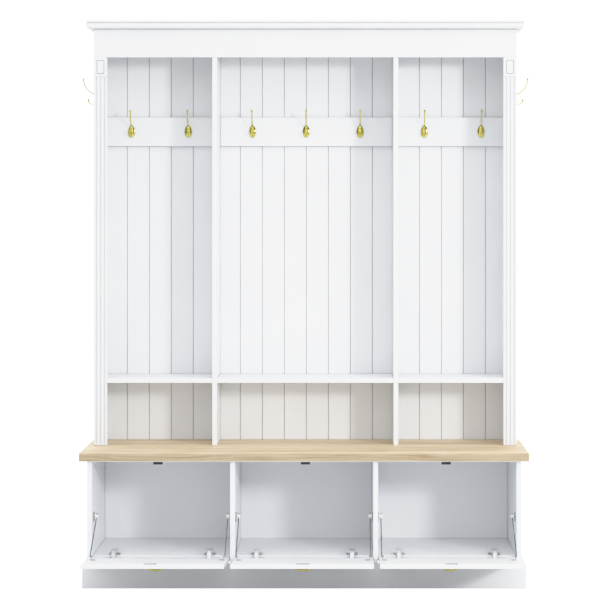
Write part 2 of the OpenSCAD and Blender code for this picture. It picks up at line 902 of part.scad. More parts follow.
// Wood screws of the hooks, the hinge arms, the stay brackets
module fixing_screws() {
    color(steel) {
        at_outer_rail_hooks(LEFT) hook_screws();
        at_middle_rail_hooks() hook_screws();
        at_outer_rail_hooks(RIGHT) hook_screws();
        at_end_hooks() hook_screws();
        at_hinges() at_arm_screws() screw();
        for (place = [LEFT, MIDDLE, RIGHT])
            at_walls(place) translate([0, wall_y, wall_z])
                for (s = [-1, 1])
                    translate([plate_steel_t + board_gap, 0, s * bracket_hole])
                    rotate([0, 90, 0]) screw();
    }
}

module hook_screws() {
    for (up = [hook_screw_low, hook_screw_up])
        translate([0, -plate_t, up]) rotate([90, 0, 0]) screw();
}

crown();
frieze();
pilaster(LEFT);  // pilaster_left
pilaster(RIGHT);  // pilaster_right
hutch_side(LEFT);  // hutch_side_left
hutch_side(RIGHT);  // hutch_side_right
hutch_divider(LEFT);  // hutch_divider_left
hutch_divider(RIGHT);  // hutch_divider_right
beadboard(LEFT);  // beadboard_left
beadboard_middle();
beadboard(RIGHT);  // beadboard_right
hook_rail(LEFT);  // hook_rail_left
hook_rail_middle();
hook_rail(RIGHT);  // hook_rail_right
hutch_shelf(LEFT);  // hutch_shelf_left
hutch_shelf_middle();
hutch_shelf(RIGHT);  // hutch_shelf_right
bench_top();
base_side(LEFT);  // base_side_left
base_side(RIGHT);  // base_side_right
base_divider(LEFT);  // base_divider_left
base_divider(RIGHT);  // base_divider_right
base_floor(LEFT);  // base_floor_left
base_floor(MIDDLE);  // base_floor_middle
base_floor(RIGHT);  // base_floor_right
base_back();
plinth_front();
plinth_side(LEFT);  // plinth_side_left
plinth_side(RIGHT);  // plinth_side_right
floor_supports();
hinge_arms();
hinge_pins();
stay_brackets();
door_catches();
fixing_screws();
hooks_outer_bay(LEFT);  // hooks_left
hooks_middle();
hooks_outer_bay(RIGHT);  // hooks_right
hooks_outside();
door(LEFT);  // door_left
door(MIDDLE);  // door_middle
door(RIGHT);  // door_right
handle(LEFT);  // handle_left
handle(MIDDLE);  // handle_middle
handle(RIGHT);  // handle_right
hinge_cups(LEFT);  // hinge_cups_left
hinge_cups(MIDDLE);  // hinge_cups_middle
hinge_cups(RIGHT);  // hinge_cups_right
stay_feet(LEFT);  // stay_feet_left
stay_feet(MIDDLE);  // stay_feet_middle
stay_feet(RIGHT);  // stay_feet_right
strike_plate(LEFT);  // strike_plate_left
strike_plate(MIDDLE);  // strike_plate_middle
strike_plate(RIGHT);  // strike_plate_right
stay_rods(LEFT);  // stay_rods_left
stay_rods(MIDDLE);  // stay_rods_middle
stay_rods(RIGHT);  // stay_rods_right
stay_swivels(LEFT);  // stay_swivels_left
stay_swivels(MIDDLE);  // stay_swivels_middle
stay_swivels(RIGHT);  // stay_swivels_right
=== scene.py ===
import json
import math

import bpy
import numpy as np
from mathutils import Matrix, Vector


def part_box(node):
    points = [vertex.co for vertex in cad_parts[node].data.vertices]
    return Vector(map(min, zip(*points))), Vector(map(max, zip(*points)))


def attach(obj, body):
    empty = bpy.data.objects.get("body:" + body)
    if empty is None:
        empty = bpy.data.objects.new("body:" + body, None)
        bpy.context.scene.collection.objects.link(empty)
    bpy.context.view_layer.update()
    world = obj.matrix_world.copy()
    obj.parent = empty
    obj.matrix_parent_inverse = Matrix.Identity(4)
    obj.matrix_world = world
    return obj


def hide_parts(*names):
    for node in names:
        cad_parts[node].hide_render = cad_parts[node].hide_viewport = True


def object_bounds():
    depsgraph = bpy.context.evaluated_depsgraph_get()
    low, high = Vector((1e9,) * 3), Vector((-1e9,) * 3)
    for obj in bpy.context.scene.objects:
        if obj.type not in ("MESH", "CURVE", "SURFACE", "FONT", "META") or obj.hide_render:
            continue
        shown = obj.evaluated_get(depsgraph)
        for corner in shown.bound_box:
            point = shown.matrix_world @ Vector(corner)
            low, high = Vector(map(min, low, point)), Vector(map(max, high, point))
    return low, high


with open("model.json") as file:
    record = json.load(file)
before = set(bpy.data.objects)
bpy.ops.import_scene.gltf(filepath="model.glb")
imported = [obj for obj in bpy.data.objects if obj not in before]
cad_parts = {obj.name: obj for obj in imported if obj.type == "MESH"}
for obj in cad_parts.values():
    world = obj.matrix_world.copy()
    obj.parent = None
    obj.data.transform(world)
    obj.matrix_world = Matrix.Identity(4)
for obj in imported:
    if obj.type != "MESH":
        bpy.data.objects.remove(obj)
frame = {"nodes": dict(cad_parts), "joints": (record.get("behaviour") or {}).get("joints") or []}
cadNodes = frame["nodes"]
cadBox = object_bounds()
print("hall tree loaded:", len(cadNodes), "CAD nodes")

mm = 0.001
sides = ("left", "middle", "right")


# small tools that the rest of the script shares

def paint(hexColour):
    # an sRGB hex colour as linear light, which is what a shader wants
    srgb = np.array([int(hexColour[i:i + 2], 16) for i in (1, 3, 5)]) / 255
    linear = np.where(srgb <= 0.04045, srgb / 12.92, ((srgb + 0.055) / 1.055) ** 2.4)
    return (*linear.tolist(), 1.0)


def startMaterial(name, **sockets):
    # a material with its one shader; plain values go straight on the shader's own sockets
    material = bpy.data.materials.new(name)
    material.use_nodes = True
    tree = material.node_tree
    shader = tree.nodes["Principled BSDF"]
    for socket, value in sockets.items():
        shader.inputs[socket.replace("_", " ")].default_value = value
    return material, tree, shader


def addNode(tree, kind, links=None, stops=None, **settings):
    # adds a node: a socket given in links is wired up, any other value is set on the input
    node = tree.nodes.new(kind)
    for name, value in settings.items():
        setattr(node, name, value)
    for name, value in (links or {}).items():
        if isinstance(value, bpy.types.NodeSocket):
            tree.links.new(value, node.inputs[name])
        else:
            node.inputs[name].default_value = value
    for number, (place, colour) in enumerate(stops or []):
        elements = node.color_ramp.elements
        element = elements[number] if number < len(elements) else elements.new(place)
        element.position = place
        element.color = colour
    return node


def wireShader(tree, shader, colour, roughness, normal):
    # every finish ends in these three sockets
    for socket, source in (("Base Color", colour), ("Roughness", roughness), ("Normal", normal)):
        tree.links.new(source, shader.inputs[socket])


def grey(value):
    return (value, value, value, 1.0)


def ringMesh(rings):
    # rings is rows x points x 3, its first and last rows shrunk to a point: every row is joined to the
    # next as a closed band and the two end points close the skin, which is turned to face outwards
    rows, around = rings.shape[0] - 2, rings.shape[1]
    corners = np.concatenate([rings[:1, 0], rings[1:-1].reshape(-1, 3), rings[-1:, 0]])
    here = np.arange(around)
    there = (here + 1) % around
    base = 1 + around * np.arange(rows - 1)[:, None]
    quads = np.stack([base + here, base + there, base + around + there, base + around + here], -1)
    top = 1 + around * (rows - 1)
    startFan = np.stack([np.zeros_like(here), 1 + there, 1 + here], -1)
    endFan = np.stack([np.full_like(here, top + around), top + here, top + there], -1)
    quads = quads.reshape(-1, 4)
    triangles = np.concatenate([startFan, endFan, quads[:, [0, 1, 2]], quads[:, [0, 2, 3]]])
    a, b, c = (corners[triangles[:, i]] for i in range(3))
    if np.einsum("ij,ij->i", a, np.cross(b, c)).sum() < 0:
        quads, startFan, endFan = quads[:, ::-1], startFan[:, ::-1], endFan[:, ::-1]
    return corners, [quads, startFan, endFan]


def makePiece(name, skins, material):
    # several closed skins in metres become one smooth object at the origin
    corners, faces, count = [], [], 0
    for skinCorners, skinFaces in skins:
        corners.append(skinCorners)
        for group in skinFaces:
            faces += (group + count).tolist()
        count += len(skinCorners)
    mesh = bpy.data.meshes.new(name)
    mesh.from_pydata(np.concatenate(corners).tolist(), [], faces)
    mesh.polygons.foreach_set("use_smooth", np.ones(len(mesh.polygons), bool))
    mesh.materials.append(material)
    mesh.update()
    piece = bpy.data.objects.new(name, mesh)
    bpy.context.scene.collection.objects.link(piece)
    return piece


def turnedSkin(profile, around, wide=1.0, high=1.0):
    # a profile of (radius, height) pairs turned about an axis; wide and high stretch its circles to ovals:
    # a point is (radius * wide * cos a, radius * high * sin a, height)
    profile = np.array(profile, float)
    angle = np.linspace(0, 2 * np.pi, around, endpoint=False)
    return np.stack([profile[:, :1] * wide * np.cos(angle), profile[:, :1] * high * np.sin(angle),
                     np.repeat(profile[:, 1:], around, 1)], -1)


def carriedSkin(path, radius, around=28):
    # a circle carried along a flat path of (out, up) points and square to it, its radius changing on the way:
    # a point is path + radius * (cos a * normal + sin a * sideways), given as (sideways, out, up)
    along = np.gradient(path, axis=0)
    along /= np.linalg.norm(along, axis=1, keepdims=True)
    normal = np.stack([-along[:, 1], along[:, 0]], -1)
    angle = np.linspace(0, 2 * np.pi, around, endpoint=False)
    reach = radius[:, None, None] * np.cos(angle)[None, :, None] * normal[:, None, :]
    flat = path[:, None, :] + reach
    return np.concatenate([(radius[:, None] * np.sin(angle))[..., None], flat], -1)


def roundedEnds(distance, length, stem, ball):
    # radius along a prong: the stem swells smoothly into a ball whose far side closes to a point
    centre = length - ball
    onBall = np.sqrt(np.clip(ball ** 2 - (distance - centre) ** 2, 0, None))
    return np.where(distance > centre, onBall, np.maximum(stem, onBall))


# finishes

def patternPlace(tree, scale=(1, 1, 1)):
    # object coordinates, so that a pattern stays on its piece; a scale below 1 draws it out along that axis
    place = addNode(tree, "ShaderNodeTexCoord").outputs["Object"]
    return addNode(tree, "ShaderNodeMapping", {"Vector": place, "Scale": scale}).outputs["Vector"]


board = {
    "paint": "#e6e8ea",         # cool, near-neutral white
    "shade": "#e2e4e7",         # the faint cloudiness of a sprayed coat
    "roughness": (0.41, 0.52),  # from the smoothest spots to the roughest
    "peelSize": 2.2 * mm,       # the real orange peel is about 1 mm, drawn coarser so that it shows
    "peelDepth": 0.03 * mm,
    "cloudSize": 260 * mm,
    "paintedShadeReach": 5 * mm,     # how far from a corner the painted shade reaches
    "paintedShade": 0.5,             # tone of the painted shade at the bottom of a groove
}


def whiteCoat(name, values, stretch):
    # white coat on board: clouds vary its colour, a painted shade darkens it in crevices and corners,
    # and a peel, drawn out by stretch, drives roughness and bump
    smooth, rough = values["roughness"]
    material, tree, shader = startMaterial(name)
    clouds = addNode(tree, "ShaderNodeTexNoise", {"Vector": patternPlace(tree),
                     "Scale": 1 / values["cloudSize"], "Detail": 3.0, "Roughness": 0.55})
    colour = addNode(tree, "ShaderNodeValToRGB", {"Fac": clouds.outputs["Fac"]},
                     stops=[(0.3, paint(values["shade"])), (0.62, paint(values["paint"]))])
    # painted shade: ambient occlusion darkens the coat in grooves and corners
    openness = addNode(tree, "ShaderNodeAmbientOcclusion", {"Distance": values["paintedShadeReach"]}, samples=8)
    paintedShade = addNode(tree, "ShaderNodeMapRange", {"Value": openness.outputs["AO"], "From Min": 0.25,
                      "From Max": 0.9, "To Min": values["paintedShade"], "To Max": 1.0})
    shadedCoat = addNode(tree, "ShaderNodeMix", {"Factor": 1.0, "A": colour.outputs["Color"],
                   "B": paintedShade.outputs["Result"]}, data_type="RGBA", blend_type="MULTIPLY")
    peel = addNode(tree, "ShaderNodeTexNoise", {"Vector": patternPlace(tree, stretch),
                   "Scale": 1 / values["peelSize"], "Detail": 2.0, "Roughness": 0.5})
    sheen = addNode(tree, "ShaderNodeMapRange", {"Value": peel.outputs["Fac"], "From Min": 0.3,
                    "From Max": 0.7, "To Min": smooth, "To Max": rough})
    bump = addNode(tree, "ShaderNodeBump", {"Height": peel.outputs["Fac"], "Distance": values["peelDepth"]})
    wireShader(tree, shader, shadedCoat.outputs["Result"], sheen.outputs["Result"], bump.outputs["Normal"])
    return material


# melamine-faced chipboard, hot pressed: an even satin white with a fine pebbled skin
satinMelamine = whiteCoat("satinMelamineBoard", board, (1, 1, 1))

# fibreboard mouldings under sprayed satin lacquer: a little glossier, its peel drawn out upright
# its flutes and grooves get a darker painted shade that reaches further
lacqueredMoulding = whiteCoat("sprayedLacquerFibreboard", {**board, "roughness": (0.33, 0.44),
                              "peelSize": 3 * mm, "peelDepth": 0.04 * mm,
                              "paintedShadeReach": 8 * mm, "paintedShade": 0.25}, (1, 1, 0.5))

# hardboard back panels wrapped in white foil: matter, with a light vertical rib left by the roller
foiledHardboard = whiteCoat("rolledFoilHardboard", {**board, "roughness": (0.5, 0.61),
                            "peelSize": 1.8 * mm, "peelDepth": 0.03 * mm}, (1, 1, 0.12))

oak = {
    "pale": "#ddc9a6",
    "honey": "#cab38c",
    "dark": "#ab8c66",
    "paintedEdgeShade": 0.66,           # painted shade: the upright faces, the board's edges, are made darker than the top
    "flameWidth": 42 * mm,      # the broad flame of a flat-sawn face
    "flameSquash": 0.055,       # the pattern's scale along the grain, as a share of that across it
    "grainWidth": 5 * mm,       # one band of early and late wood
    "grainSquash": 0.018,
    "poreWidth": 0.9 * mm,      # the real pore is about 0.3 mm, drawn coarser so that it shows
    "poreLength": 26 * mm,
    "poreDepth": 0.12 * mm,
    "poreTone": 0.82,           # an open pore holds a darker tone
    "wander": 30 * mm,          # how far the grain drifts sideways along the board
    "underside": -0.6,          # faces that look down more than this are the white backing sheet
    "roughness": (0.44, 0.58),  # from pale late wood to dark early wood
}


def oakTop():
    # flat-sawn oak veneer under a matt clear coat: long flames, fine bands between them and open pores
    material, tree, shader = startMaterial("mattClearCoatedOak")
    drift = addNode(tree, "ShaderNodeTexNoise", {"Vector": patternPlace(tree, (1.1, 3, 3)),
                    "Scale": 1.4, "Detail": 2.0})
    bent = addNode(tree, "ShaderNodeMapRange", {"Value": drift.outputs["Fac"],
                   "To Min": -oak["wander"], "To Max": oak["wander"]}).outputs["Result"]
    sidestep = addNode(tree, "ShaderNodeCombineXYZ", {"Y": bent, "Z": bent}).outputs["Vector"]
    place = addNode(tree, "ShaderNodeTexCoord").outputs["Object"]
    wavy = addNode(tree, "ShaderNodeVectorMath", {0: place, 1: sidestep}).outputs["Vector"]
    grain = {}
    for layer, width, squash, detail, roughness in (
            ("flames", oak["flameWidth"], oak["flameSquash"], 4.0, 0.6),
            ("bands", oak["grainWidth"], oak["grainSquash"], 3.0, 0.65),
            ("pores", oak["poreWidth"], oak["poreWidth"] / oak["poreLength"], 1.0, 0.5)):
        drawnOut = addNode(tree, "ShaderNodeMapping", {"Vector": wavy, "Scale": (squash, 1, 1)})
        grain[layer] = addNode(tree, "ShaderNodeTexNoise", {"Vector": drawnOut.outputs["Vector"],
                               "Scale": 1 / width, "Detail": detail, "Roughness": roughness}).outputs["Fac"]
    figure = addNode(tree, "ShaderNodeMath", {0: grain["flames"], 1: grain["bands"]}, operation="ADD")
    halved = addNode(tree, "ShaderNodeMath", {0: figure.outputs["Value"], 1: 0.5}, operation="MULTIPLY")
    wood = addNode(tree, "ShaderNodeValToRGB", {"Fac": halved.outputs["Value"]},
                   stops=[(0.36, paint(oak["dark"])), (0.46, paint(oak["honey"])), (0.6, paint(oak["pale"]))])
    openPore = addNode(tree, "ShaderNodeMapRange", {"Value": grain["pores"], "From Min": 0.62,
                       "From Max": 0.7, "To Min": 1.0, "To Max": oak["poreTone"]}).outputs["Result"]
    poreTone = addNode(tree, "ShaderNodeCombineColor", {"Red": openPore, "Green": openPore, "Blue": openPore})
    face = addNode(tree, "ShaderNodeMix", {"Factor": 1.0, "A": wood.outputs["Color"],
                   "B": poreTone.outputs["Color"]}, data_type="RGBA", blend_type="MULTIPLY")
    # painted shade: faces that stand upright, the board's edges, are darkened
    darker = addNode(tree, "ShaderNodeMix", {"Factor": 1.0, "A": face.outputs["Result"],
                     "B": grey(oak["paintedEdgeShade"])}, data_type="RGBA", blend_type="MULTIPLY")
    normal = addNode(tree, "ShaderNodeTexCoord").outputs["Normal"]
    facing = addNode(tree, "ShaderNodeSeparateXYZ", {"Vector": normal}).outputs["Z"]
    flatness = addNode(tree, "ShaderNodeMath", {0: facing}, operation="ABSOLUTE").outputs["Value"]
    onEdge = addNode(tree, "ShaderNodeMapRange", {"Value": flatness, "From Min": 0.3, "From Max": 0.6,
                     "To Min": 1.0, "To Max": 0.0})
    edgeShaded = addNode(tree, "ShaderNodeMix", {"Factor": onEdge.outputs["Result"], "A": face.outputs["Result"],
                   "B": darker.outputs["Result"]}, data_type="RGBA")
    below = addNode(tree, "ShaderNodeMath", {0: facing, 1: oak["underside"]}, operation="LESS_THAN")
    colour = addNode(tree, "ShaderNodeMix", {"Factor": below.outputs["Value"], "A": edgeShaded.outputs["Result"],
                     "B": paint(board["paint"])}, data_type="RGBA")
    smooth, rough = oak["roughness"]
    sheen = addNode(tree, "ShaderNodeMapRange", {"Value": halved.outputs["Value"], "From Min": 0.35,
                    "From Max": 0.65, "To Min": rough, "To Max": smooth})
    bump = addNode(tree, "ShaderNodeBump", {"Height": openPore, "Distance": oak["poreDepth"],
                   "Strength": 0.8})
    wireShader(tree, shader, colour.outputs["Result"], sheen.outputs["Result"], bump.outputs["Normal"])
    return material


oakBoard = oakTop()


def polishedMetal(name, values):
    # plated or solid metal: a colour that drifts between two tones, with hairline scratches in gloss and bump
    smooth, rough = values["roughness"]
    material, tree, shader = startMaterial(name, Metallic=1.0)
    drift = addNode(tree, "ShaderNodeTexNoise", {"Vector": patternPlace(tree),
                    "Scale": 1 / values["driftSize"], "Detail": 4.0})
    colour = addNode(tree, "ShaderNodeValToRGB", {"Fac": drift.outputs["Fac"]},
                     stops=[(0.3, paint(values["deep"])), (0.65, paint(values["bright"]))])
    hairs = addNode(tree, "ShaderNodeTexNoise", {"Vector": patternPlace(tree, values["hairStretch"]),
                    "Scale": 1 / values["hairWidth"], "Detail": 3.0, "Roughness": 0.7})
    gloss = addNode(tree, "ShaderNodeMapRange", {"Value": hairs.outputs["Fac"], "From Min": 0.3,
                    "From Max": 0.7, "To Min": smooth, "To Max": rough})
    bump = addNode(tree, "ShaderNodeBump", {"Height": hairs.outputs["Fac"], "Distance": values["hairDepth"]})
    wireShader(tree, shader, colour.outputs["Color"], gloss.outputs["Result"], bump.outputs["Normal"])
    return material


# cast brass, buffed: a pale lemon gold with soft hairlines from the wheel
brass = {"deep": "#ada03e", "bright": "#d8cf70", "driftSize": 18 * mm, "hairWidth": 0.35 * mm,
         "hairStretch": (1, 1, 0.1), "hairDepth": 0.006 * mm, "roughness": (0.09, 0.23)}
buffedBrass = polishedMetal("buffedCastBrass", brass)

# pressed steel under bright nickel: cool and mirror-like, with the drawing marks along the rods
nickel = {"deep": "#73767a", "bright": "#a6a9ad", "driftSize": 25 * mm, "hairWidth": 0.4 * mm,
          "hairStretch": (1, 0.15, 0.3), "hairDepth": 0.012 * mm, "roughness": (0.19, 0.33)}
nickelSteel = polishedMetal("nickelPlatedPressedSteel", nickel)

# die-cast zinc hinge arms under the same plating, blasted first: paler and softer than the drawn rods
castHinge = polishedMetal("blastedPlatedCastZinc", {**nickel, "deep": "#b9bcc0", "bright": "#e4e6e8",
                          "hairStretch": (1, 1, 1), "hairDepth": 0.02 * mm, "roughness": (0.27, 0.41)})


def mouldedPlastic(name, values):
    # injection moulded plastic: a spark-eroded skin in roughness and bump, and a slight flow of tone
    smooth, rough = values["roughness"]
    material, tree, shader = startMaterial(name, IOR=values["ior"])
    flow = addNode(tree, "ShaderNodeTexNoise", {"Vector": patternPlace(tree, (1, 1, 0.4)),
                   "Scale": 1 / values["flowSize"], "Detail": 2.0})
    colour = addNode(tree, "ShaderNodeValToRGB", {"Fac": flow.outputs["Fac"]},
                     stops=[(0.3, paint(values["deep"])), (0.7, paint(values["bright"]))])
    skin = addNode(tree, "ShaderNodeTexVoronoi", {"Vector": patternPlace(tree),
                   "Scale": 1 / values["skinSize"]}).outputs["Distance"]
    sheen = addNode(tree, "ShaderNodeMapRange", {"Value": skin, "From Max": 0.6, "To Min": smooth,
                    "To Max": rough})
    bump = addNode(tree, "ShaderNodeBump", {"Height": skin, "Distance": values["skinDepth"]})
    wireShader(tree, shader, colour.outputs["Color"], sheen.outputs["Result"], bump.outputs["Normal"])
    return material


# black ABS of the catches: nearly matt, its pebbled skin drawn at 0.5 mm so that it shows
blackAbs = mouldedPlastic("blackMouldedAbs", {
    "deep": "#1d1d1f", "bright": "#2b2b2d", "flowSize": 12 * mm, "skinSize": 0.5 * mm,
    "skinDepth": 0.02 * mm, "roughness": (0.39, 0.53), "ior": 1.53,
})

# white nylon of the guide blocks: waxy and bright
whiteNylon = mouldedPlastic("whiteMouldedNylon", {
    "deep": "#eeeeea", "bright": "#f8f8f6", "flowSize": 9 * mm, "skinSize": 0.6 * mm,
    "skinDepth": 0.01 * mm, "roughness": (0.32, 0.46), "ior": 1.53,
})


screw = {
    "zincDeep": "#55575b", "zincBright": "#8f9296", "brassDeep": "#8f7430", "brassBright": brass["deep"],
    "brassFrom": 1.0,           # the screws of the hooks all stand above this height in metres
    "markWidth": 0.5 * mm, "markDepth": 0.02 * mm, "roughness": (0.25, 0.45),
}


def screwFinish():
    # turned screws with fine tool marks: the ones in the hooks are brass-plated, the lower ones zinc
    smooth, rough = screw["roughness"]
    material, tree, shader = startMaterial("turnedPlatedScrews", Metallic=1.0)
    place = addNode(tree, "ShaderNodeTexCoord").outputs["Object"]
    height = addNode(tree, "ShaderNodeSeparateXYZ", {"Vector": place}).outputs["Z"]
    isBrass = addNode(tree, "ShaderNodeMath", {0: height, 1: screw["brassFrom"]}, operation="GREATER_THAN")
    marks = addNode(tree, "ShaderNodeTexNoise", {"Vector": place, "Scale": 1 / screw["markWidth"],
                    "Detail": 3.0}).outputs["Fac"]
    zinc, gold = (addNode(tree, "ShaderNodeValToRGB", {"Fac": marks},
                          stops=[(0.3, paint(screw[metal + "Deep"])), (0.7, paint(screw[metal + "Bright"]))])
                  for metal in ("zinc", "brass"))
    colour = addNode(tree, "ShaderNodeMix", {"Factor": isBrass.outputs["Value"], "A": zinc.outputs["Color"],
                     "B": gold.outputs["Color"]}, data_type="RGBA")
    gloss = addNode(tree, "ShaderNodeMapRange", {"Value": marks, "To Min": smooth, "To Max": rough})
    bump = addNode(tree, "ShaderNodeBump", {"Height": marks, "Distance": screw["markDepth"]})
    wireShader(tree, shader, colour.outputs["Result"], gloss.outputs["Result"], bump.outputs["Normal"])
    return material


platedScrews = screwFinish()

finishes = {
    "bench_top": oakBoard,
    "crown": lacqueredMoulding, "frieze": lacqueredMoulding, "pilaster": lacqueredMoulding,
    "hook_rail": lacqueredMoulding, "door_catches": blackAbs, "door": lacqueredMoulding,
    "beadboard": foiledHardboard, "base_back": foiledHardboard,
    "hutch": satinMelamine, "base": satinMelamine, "plinth": satinMelamine, "floor": satinMelamine,
    "hinge": castHinge, "stay_swivels": whiteNylon, "stay": nickelSteel, "strike": nickelSteel,
    "fixing": platedScrews, "hooks": buffedBrass, "handle": buffedBrass,
}
for nodeName, node in cadNodes.items():
    start = max((s for s in finishes if nodeName.startswith(s)), key=len)
    for materialSlot in node.material_slots:
        materialSlot.material = finishes[start]
print("finishes given to every CAD node")


# hooks, in millimetres: a domed oval plate with a tall prong and a short one, each ending in a ball

hook = {
    "plateWide": 25.0, "plateHigh": 42.0, "domeHigh": 5.0, "rim": 1.2,
    "upperReach": 42.0, "upperRise": 71.5, "upperBall": 4.0,
    "lowerReach": 25.0, "lowerRise": -0.25, "lowerBall": 3.7,
    "upperRoot": (1.2, 19.2), "lowerRoot": (0.5, -14.1), "lowerCurve": 12.0,
    "stem": 2.38, "waist": 2.15, "root": 3.3, "rootFade": 2.5,
}


def hookSkins():
    # plate: a flat back, a small bevel and an upright rim, then ovals that shrink over a dome, where
    # height = rim + (domeHigh - rim) * sqrt(1 - share ** 2)
    share = np.concatenate([[0, 0.5, 0.97, 1, 1], np.cos(np.linspace(0, np.pi / 2, 16))])
    height = np.concatenate([[0, 0, 0, 0.25, hook["rim"] - 0.2],
                             hook["rim"] + (hook["domeHigh"] - hook["rim"]) * np.sqrt(1 - share[5:] ** 2)])
    share[-1] = 0
    oval = turnedSkin(np.stack([share, height], -1), 48, hook["plateWide"] / 2, hook["plateHigh"] / 2)
    plate = oval[..., [0, 2, 1]]     # (sideways, out, up)
    # upper prong: an arc that leaves the plate slanting and turns upright at its ball
    out = hook["upperReach"] - hook["upperRoot"][0]
    up = hook["upperRise"] - hook["upperRoot"][1]
    turn = 2 * math.atan2(out, up)
    curve = up / math.sin(turn)
    sweep = np.linspace(-turn, 0, 54)
    arc = np.stack([hook["upperReach"] - curve + curve * np.cos(sweep),
                    hook["upperRise"] + curve * np.sin(sweep)], -1)
    tip = np.array([[hook["upperReach"], hook["upperRise"] + hook["upperBall"]]])
    upper = prongSkin(arc, tip, hook["upperBall"])
    # lower prong: straight out, a quarter turn, then up into its ball
    runOut = hook["lowerReach"] - hook["lowerCurve"]
    straight = np.stack([np.linspace(hook["lowerRoot"][0], runOut, 10),
                         np.full(10, hook["lowerRoot"][1])], -1)
    quarter = np.linspace(-np.pi / 2, 0, 22)[1:]
    bend = np.stack([runOut + hook["lowerCurve"] * np.cos(quarter),
                     hook["lowerRoot"][1] + hook["lowerCurve"] * (1 + np.sin(quarter))], -1)
    tip = np.array([[hook["lowerReach"], hook["lowerRise"] + hook["lowerBall"]]])
    lower = prongSkin(np.concatenate([straight, bend]), tip, hook["lowerBall"])
    return [ringMesh(skin * mm) for skin in (plate, upper, lower)]


def prongSkin(path, tip, ball):
    # the path is measured out evenly by distance, wide at the root, thinnest in the middle, round at the ball
    path = np.concatenate([path, tip])
    distance = np.concatenate([[0], np.cumsum(np.linalg.norm(np.diff(path, axis=0), axis=1))])
    length = distance[-1]
    nearBall = length - ball * (1 - np.cos(np.linspace(np.pi, 0, 20)))
    places = np.concatenate([[0], np.linspace(0.02, length - 2 * ball, 46), np.sort(nearBall)[1:]])
    even = np.stack([np.interp(places, distance, path[:, i]) for i in (0, 1)], -1)
    part = places / length
    stem = hook["waist"] + (hook["stem"] - hook["waist"]) * (2 * part - 1) ** 2
    stem = stem + (hook["root"] - hook["stem"]) * np.exp(-places / hook["rootFade"])
    radius = roundedEnds(places, length, stem, ball)
    radius[0] = 0
    radius[-1] = 0
    return carriedSkin(even, radius)


def placeHooks(name, spots):
    # a spot is a place on the wall for the middle of the plate's back, and a turn about the upright axis
    hookParts = hookSkins()
    skins = []
    for place, turn in spots:
        c, s = math.cos(turn), math.sin(turn)
        for corners, faces in hookParts:
            # out runs towards the front at no turn, which mirrors the frame, so each face is turned over
            sideways, out, up = corners.T
            spun = np.stack([sideways * c + out * s, sideways * s - out * c, up], -1)
            skins.append((spun + np.array(place), [group[:, ::-1] for group in faces]))
    piece = makePiece(name + "Brass", skins, buffedBrass)
    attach(piece, "cabinet")
    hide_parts(name)


hookTop = (hook["upperRise"] + hook["upperBall"]) * mm
halfPlate = hook["plateWide"] / 2 * mm
for bay in sides:
    low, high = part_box("hooks_" + bay)
    ends = [low.x + halfPlate, high.x - halfPlate]
    if bay == "middle":
        ends.insert(1, (low.x + high.x) / 2)
    placeHooks("hooks_" + bay, [((x, high.y, high.z - hookTop), 0) for x in ends])
low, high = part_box("hooks_outside")
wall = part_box("hutch_side_right")[1].x
plateMiddle = (low.y + high.y) / 2
placeHooks("hooks_outside", [((way * wall, plateMiddle, high.z - hookTop), way * math.pi / 2)
                             for way in (-1, 1)])
print("hooks made")


# handles, in millimetres: a bowed bar on two turned posts, square to the open door's outer face

handle = {
    "span": 64.0, "rise": 15.0, "bar": 3.0, "barEnd": 2.4,
    "postHigh": 5.0, "postFoot": 4.2, "postNeck": 2.7,
    "sunk": 1.5,                # the bar's ends sit this deep in the posts
}
doorHinges = {j["child"]: j for j in frame["joints"]}


def handleSkins():
    # bar: a shallow arc whose sagitta fits the rise, its radius easing from the ends to the middle
    base = handle["postHigh"] - handle["sunk"]
    sag = handle["rise"] - handle["bar"] - base
    half = handle["span"] / 2
    curve = (half ** 2 + sag ** 2) / (2 * sag)
    reach = math.asin(half / curve)
    angle = np.linspace(-reach, reach, 61)
    path = np.stack([curve * np.sin(angle), handle["rise"] - handle["bar"] - curve * (1 - np.cos(angle))], -1)
    ease = np.cos(angle / reach * np.pi / 2) ** 0.7
    radius = handle["barEnd"] + (handle["bar"] - handle["barEnd"]) * ease
    cap = np.linspace(0, 1, 9)[:-1]
    along = np.array([math.cos(reach), math.sin(reach)])
    capReach = (handle["barEnd"] * np.cos(cap * np.pi / 2))[:, None]
    before = path[0] - along * capReach
    after = (path[-1] + along * [1, -1] * capReach)[::-1]
    capRadius = handle["barEnd"] * np.sin(cap * np.pi / 2)
    bar = carriedSkin(np.concatenate([before, path, after]),
                      np.concatenate([capRadius, radius, capRadius[::-1]]))
    skins = [ringMesh(bar * mm)]
    # post: a turned foot, a hollow neck and a rounded top under the bar
    foot, neck, high = handle["postFoot"], handle["postNeck"], handle["postHigh"]
    profile = [(0, 0), (foot * 0.9, 0), (foot, 0.25), (foot, 0.9), (foot * 0.93, 1.25), (neck * 1.12, 2.1),
               (neck, 3.0), (neck * 1.02, high - 1.2), (neck * 0.8, high - 0.3), (0, high)]
    for side in (-1, 1):
        post = turnedSkin(profile, 36)[..., [1, 0, 2]] + [0, side * half, 0]
        skins.append(ringMesh(post * mm))
    return skins      # corners are (across the bar, along it, out from the door)


